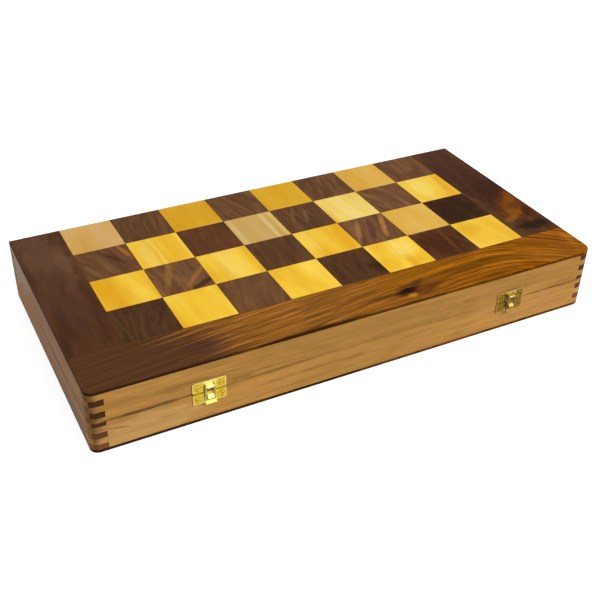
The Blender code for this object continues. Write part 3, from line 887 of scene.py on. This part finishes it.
def beads(name, node, material, body):
    """The raised oval bead that is stamped round each nail of a clasp plate."""
    bm = bmesh.new()
    bmesh.ops.create_circle(
        bm,
        segments=BEAD_FACETS,
        radius=BEAD_RADIUS,
        matrix=Matrix.Translation((BEAD_SPUN, 0, 0)) @ FACE_FORWARD,
    )
    bmesh.ops.spin(
        bm,
        geom=bm.edges[:],
        cent=(0, 0, 0),
        axis=(0, 0, 1),
        angle=math.tau,
        steps=BEAD_STEPS,
        use_merge=True,
    )
    for vert in bm.verts:
        out = Vector((vert.co.x, vert.co.y, 0)).normalized()
        vert.co += Vector((out.x * (BEAD_LONG - BEAD_SPUN), out.y * (BEAD_WIDE - BEAD_SPUN), 0))
    copied(bm, wing_places(node))
    finished(name, bm, material, body)


SCREW_PITCH = 13 * MM
SCREW_PROUD = 0.07 * MM
SCREW_DEPTH = 0.6 * MM
SCREW_FACETS = 28
SLOT_WIDTH = 0.5 * MM
SLOT_DEPTH = 0.35 * MM
# How each screw's slot was left standing, in degrees, by its place in the row
SLOT_TURNS = ((-1, 20), (0, 75), (1, -35))
LEAF_REACH = 4.2 * MM
LEAF_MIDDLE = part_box("upper_left_hinge_leaf")[0].y + LEAF_REACH


def hinge_screws(name, node, turned, material, body):
    """Three flat slotted screw heads in a hinge leaf, just proud of the side that faces the other leaf."""
    radius = sizes().screw_radius
    low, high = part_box(node)
    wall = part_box(f"{body.split('_')[0]}_back_wall")
    face = wall[0].z if turned else wall[1].z
    bm = bmesh.new()
    bmesh.ops.create_circle(bm, cap_ends=True, segments=SCREW_FACETS, radius=radius)
    for side in (-1, 1):
        bmesh.ops.bisect_plane(
            bm,
            geom=everything(bm),
            plane_co=(side * SLOT_WIDTH / 2, 0, 0),
            plane_no=(1, 0, 0),
        )
    slot = [f for f in bm.faces if abs(f.calc_center_median().x) < SLOT_WIDTH / 4]
    rim = [edge for edge in bm.edges if edge.is_boundary]
    sides = bmesh.ops.extrude_edge_only(bm, edges=rim)["geom"]
    bmesh.ops.translate(bm, vec=(0, 0, -SCREW_DEPTH), verts=verts_in(sides))
    sunk = bmesh.ops.extrude_face_region(bm, geom=slot)["geom"]
    bmesh.ops.translate(bm, vec=(0, 0, -SLOT_DEPTH), verts=verts_in(sunk))
    bmesh.ops.delete(bm, geom=slot, context="FACES_ONLY")
    bmesh.ops.holes_fill(bm, edges=[edge for edge in bm.edges if edge.is_boundary])
    over = Matrix.Rotation(math.pi, 4, "X") if turned else Matrix()
    spots = []
    for index, tilt in SLOT_TURNS:
        spot = Vector(((low.x + high.x) / 2 + index * SCREW_PITCH, LEAF_MIDDLE, face))
        spot.z += -SCREW_PROUD if turned else SCREW_PROUD
        spots.append(Matrix.Translation(spot) @ over @ Matrix.Rotation(math.radians(tilt), 4, "Z"))
    copied(bm, spots)
    finished(name, bm, material, body)


WAX_DEPTH = 0.6 * MM
WAX_BELOW = 0.05 * MM


def wax_lines(name, tray, material):
    """The lattice of wax that fills the joints between the squares and the border strips."""
    low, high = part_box(f"{tray}_front_border")
    up = tray == "upper"
    bm = bmesh.new()
    bmesh.ops.create_grid(bm, x_segments=COLUMNS + 2, y_segments=ROWS + 1, size=1)
    across = [low.x, *[FIELD_LEFT + index * SQUARE for index in range(COLUMNS + 1)], high.x]
    back = [low.y, *[FIELD_FRONT + index * SQUARE for index in range(ROWS + 1)]]
    for vert in bm.verts:
        column = round((vert.co.x + 1) / 2 * (COLUMNS + 2))
        row = round((vert.co.y + 1) / 2 * (ROWS + 1))
        vert.co = (across[column], back[row], 0)
    whole = []
    for edge in bm.edges:
        middle = (edge.verts[0].co + edge.verts[1].co) / 2
        upright = abs(edge.verts[0].co.x - edge.verts[1].co.x) < JOINT
        in_front = middle.y < FIELD_FRONT - JOINT
        behind = middle.y > FIELD_FRONT + JOINT
        at_side = abs(middle.x) > across[-2] + JOINT
        within_strip = in_front if upright else at_side and behind
        if not edge.is_boundary and within_strip:
            whole.append(edge)
    bmesh.ops.dissolve_edges(bm, edges=whole)
    pieces = bm.faces[:]
    bmesh.ops.inset_individual(bm, faces=pieces, thickness=JOINT / 2, use_even_offset=True)
    outer = [face for face in bm.faces if any(edge.is_boundary for edge in face.edges)]
    bmesh.ops.delete(bm, geom=[*pieces, *outer], context="FACES")
    bmesh.ops.remove_doubles(bm, verts=bm.verts, dist=JOINT / 100)
    down = bmesh.ops.extrude_face_region(bm, geom=bm.faces[:])["geom"]
    level = high.z - WAX_BELOW if up else low.z + WAX_BELOW
    deep = -WAX_DEPTH if up else WAX_DEPTH
    bmesh.ops.translate(bm, vec=(0, 0, deep), verts=verts_in(down))
    bmesh.ops.translate(bm, vec=(0, 0, level), verts=bm.verts)
    finished(name, bm, material, f"{tray}_tray")


# End grain of the long walls, as a share of their own colour
END_GRAIN_SHARE = 0.55


class CHESS_BOARD_OT_walls(bpy.types.Operator):
    """Gives the tray walls their planed hardwood"""

    bl_idname = "chess_board.walls"
    bl_label = "Finish the Tray Walls"

    def execute(self, context):
        tan, brown, ends = colours().hardwood, colours().end_hardwood, colours().end_grain
        tan_ends = [level * END_GRAIN_SHARE for level in tan[:3]]
        long_way = wall_hardwood("planed_hardwood_long_walls", "X", tan, tan_ends, WALL_PATCHES)
        short_way = wall_hardwood("planed_hardwood_end_walls", "Y", brown, ends, END_WALL_PATCHES)
        for tray in TRAYS:
            give(long_way, f"{tray}_front_wall", f"{tray}_back_wall")
            give(short_way, f"{tray}_left_wall", f"{tray}_right_wall")
        return {"FINISHED"}


class CHESS_BOARD_OT_borders(bpy.types.Operator):
    """Gives the border strips their rosewood"""

    bl_idname = "chess_board.borders"
    bl_label = "Finish the Borders"

    def execute(self, context):
        strips = rosewood_strips()
        front = cathedral_rosewood()
        for tray in TRAYS:
            give(strips, f"{tray}_left_border", f"{tray}_right_border")
            give(front, f"{tray}_front_border")
        return {"FINISHED"}


# Squares that are not of the golden timber, as tray, row from the hinge and column
OTHER_SQUARES = {
    "deep": ("upper_r1_c3", "upper_r1_c5", "lower_r2_c3", "lower_r4_c7"),
    "honey": ("upper_r1_c7", "upper_r3_c7", "lower_r1_c4", "lower_r3_c8"),
    "tan": ("upper_r1_c1", "upper_r2_c4", "lower_r3_c2"),
    "pale": ("upper_r2_c6", "lower_r2_c5", "lower_r4_c3"),
}


class CHESS_BOARD_OT_squares(bpy.types.Operator):
    """Gives the dark and light squares their rosewood and boxwood"""

    bl_idname = "chess_board.squares"
    bl_label = "Finish the Squares"

    def execute(self, context):
        give(rosewood_squares(), *[f"{tray}_field_panel" for tray in TRAYS])
        golden = boxwood("oiled_golden_boxwood", colours().golden_boxwood, 1.0)
        give(golden, *[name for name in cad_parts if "light_square" in name])
        for kind, squares in OTHER_SQUARES.items():
            timber = boxwood(f"oiled_{kind}_boxwood", getattr(colours(), f"{kind}_boxwood"), 0.5)
            give(timber, *[square.replace("_", "_light_square_", 1) for square in squares])
        return {"FINISHED"}


class CHESS_BOARD_OT_wax(bpy.types.Operator):
    """Fills the joints between the squares and the strips with brown wax"""

    bl_idname = "chess_board.wax"
    bl_label = "Fill the Joints"

    def execute(self, context):
        wax = joint_wax()
        for tray in TRAYS:
            wax_lines(f"{tray}_joint_wax", tray, wax)
        return {"FINISHED"}


class CHESS_BOARD_OT_hardware(bpy.types.Operator):
    """Gives the clasps and hinges their brass, with their nails, beads and screws"""

    bl_idname = "chess_board.hardware"
    bl_label = "Finish the Clasps and Hinges"

    def execute(self, context):
        pressed = brass("pressed_brass", colours().brass, 0.3, 0.8)
        bent_over = brass("pressed_brass_catches", colours().brass, 0.45, 0.5)
        rubbed = brass("rubbed_brass_hasps", colours().hasp_brass, 0.42, 0.0)
        tarnished = brass("tarnished_brass_nails", colours().nail_brass, 0.3, 0.0)
        for side in SIDES:
            give(pressed, f"{side}_clasp_plate")
            give(bent_over, f"{side}_clasp_catch")
            give(rubbed, f"{side}_clasp_hasp")
            give(pressed, f"{side}_hinge_pin", *[f"{tray}_{side}_hinge_leaf" for tray in TRAYS])
            for node, body in ((f"{side}_clasp_plate", "upper_tray"), (f"{side}_clasp_catch", "lower_tray")):
                nails(f"{node}_nails", node, tarnished, body)
                beads(f"{node}_beads", node, pressed, body)
            for tray in TRAYS:
                node = f"{tray}_{side}_hinge_leaf"
                hinge_screws(f"{node}_screws", node, tray == "upper", tarnished, f"{tray}_tray")
        return {"FINISHED"}


class CHESS_BOARD_OT_stage(bpy.types.Operator):
    """Lays the floor and sets the lamps, the world and the camera"""

    bl_idname = "chess_board.stage"
    bl_label = "Set the Stage"

    def execute(self, context):
        lay_floor()
        light_world()
        hang_lamps()
        place_camera()
        return {"FINISHED"}


FLOOR_HALF = 6.0
FLOOR_DROP = 0.5 * MM
# The floor's own white, less near the board so that its shadow shows, and full towards the horizon
FLOOR_GLOW = 0.8
GLOW_NEAR = 0.7
GLOW_FAR = 2.5
WHITE = (1, 1, 1, 1)


def seen_by_camera(tree):
    """One for rays that come from the camera, from a mirror or through glass, and zero for the rest."""
    rays = add(tree, "ShaderNodeLightPath").outputs
    seen = add(tree, MATH, {0: rays["Is Camera Ray"], 1: rays["Is Glossy Ray"]}, operation="MAXIMUM")
    return add(tree, MATH, {0: seen, 1: rays["Is Transmission Ray"]}, operation="MAXIMUM")


def lay_floor():
    # Matt white paper, so the eye sees an even pale ground with the board's own soft shadow
    bm = bmesh.new()
    bmesh.ops.create_grid(
        bm, x_segments=1, y_segments=1, size=FLOOR_HALF, matrix=Matrix.Translation((0, 0, -FLOOR_DROP))
    )
    mesh = bpy.data.meshes.new("floor")
    bm.to_mesh(mesh)
    bm.free()
    made, tree, shader, place = start_material("matt_white_paper", 0.9)
    shader.inputs["Base Color"].default_value = colours().floor
    away = add(tree, VECTOR, {0: place}, operation="LENGTH").outputs["Value"]
    level = add(
        tree,
        RANGE,
        {"Value": away, "From Min": GLOW_NEAR, "From Max": GLOW_FAR, "To Min": FLOOR_GLOW, "To Max": 1.0},
    )
    glow = add(tree, "ShaderNodeEmission", {"Color": WHITE, "Strength": level})
    both = add(tree, "ShaderNodeAddShader", {0: shader, 1: glow})
    chosen = add(tree, "ShaderNodeMixShader", {0: seen_by_camera(tree), 1: shader, 2: both})
    tree.links.new(chosen.outputs[0], tree.nodes["Material Output"].inputs["Surface"])
    mesh.materials.append(made)
    floor = bpy.data.objects.new("floor", mesh)
    bpy.context.scene.collection.objects.link(floor)


SKY_LEVEL = 0.3


def light_world():
    world = bpy.data.worlds.new("studio_world")
    world.use_nodes = True
    bpy.context.scene.world = world
    tree = world.node_tree
    level = add(tree, RANGE, {"Value": seen_by_camera(tree), "To Min": SKY_LEVEL, "To Max": 1.0})
    back = tree.nodes["Background"]
    back.inputs["Color"].default_value = WHITE
    tree.links.new(level.outputs[0], back.inputs["Strength"])


# Each lamp's place in metres, its width and its power in watts
LAMPS = {
    "key": ((0.6, -1.55, 1.25), 1.4, 37.5),
    "top": ((-0.25, 0.3, 1.7), 1.8, 10.5),
}


def hang_lamps():
    for name, (spot, width, power) in LAMPS.items():
        lamp = bpy.data.lights.new(name, "AREA")
        lamp.shape = "DISK"
        lamp.size = width
        lamp.energy = power
        hung = bpy.data.objects.new(name, lamp)
        hung.location = spot
        hung.rotation_euler = (CASE_MIDDLE - Vector(spot)).to_track_quat("-Z", "Y").to_euler()
        bpy.context.scene.collection.objects.link(hung)


CAMERA_SPOT = Vector((-0.36399, -0.68028, 0.52500))
CAMERA_YAW = math.radians(28.042)
CAMERA_PITCH = math.radians(34.318)
CAMERA_ROLL = math.radians(1.547)
CAMERA_NEAR = 10 * MM


def place_camera():
    ahead = Vector(
        (
            math.sin(CAMERA_YAW) * math.cos(CAMERA_PITCH),
            math.cos(CAMERA_YAW) * math.cos(CAMERA_PITCH),
            -math.sin(CAMERA_PITCH),
        )
    )
    level_right = Vector((math.cos(CAMERA_YAW), -math.sin(CAMERA_YAW), 0))
    level_up = level_right.cross(ahead)
    right = math.cos(CAMERA_ROLL) * level_right + math.sin(CAMERA_ROLL) * level_up
    up = math.cos(CAMERA_ROLL) * level_up - math.sin(CAMERA_ROLL) * level_right
    turned = Matrix((right, up, -ahead)).transposed()
    camera = bpy.data.objects.new("camera", bpy.data.cameras.new("camera"))
    camera.data.lens = sizes().lens
    camera.data.clip_start = CAMERA_NEAR
    camera.matrix_world = Matrix.LocRotScale(CAMERA_SPOT, turned, None)
    bpy.context.scene.collection.objects.link(camera)
    bpy.context.scene.camera = camera


STEPS = (
    CHESS_BOARD_OT_walls,
    CHESS_BOARD_OT_borders,
    CHESS_BOARD_OT_squares,
    CHESS_BOARD_OT_wax,
    CHESS_BOARD_OT_hardware,
    CHESS_BOARD_OT_stage,
)


class CHESS_BOARD_PT_panel(bpy.types.Panel):
    """Lists the steps, the colours and the sizes"""

    bl_idname = "CHESS_BOARD_PT_panel"
    bl_label = "Chess Board"
    bl_space_type = "VIEW_3D"
    bl_region_type = "UI"
    bl_category = "Chess Board"

    def draw(self, context):
        for step in STEPS:
            self.layout.operator(step.bl_idname)
        for group in (context.scene.chess_board_colours, context.scene.chess_board_sizes):
            for name in group.bl_rna.properties.keys():
                if name not in ("rna_type", "name"):
                    self.layout.prop(group, name)


CLASSES = (ChessBoardColours, ChessBoardSizes, *STEPS, CHESS_BOARD_PT_panel)


def register():
    for each in CLASSES:
        bpy.utils.register_class(each)
    bpy.types.Scene.chess_board_colours = PointerProperty(type=ChessBoardColours)
    bpy.types.Scene.chess_board_sizes = PointerProperty(type=ChessBoardSizes)


def unregister():
    del bpy.types.Scene.chess_board_sizes
    del bpy.types.Scene.chess_board_colours
    for each in reversed(CLASSES):
        bpy.utils.unregister_class(each)


def main():
    bpy.context.scene.view_settings.view_transform = "Standard"
    register()
    for step in STEPS:
        group, name = step.bl_idname.split(".")
        getattr(getattr(bpy.ops, group), name)()


if __name__ == "__main__":
    main()
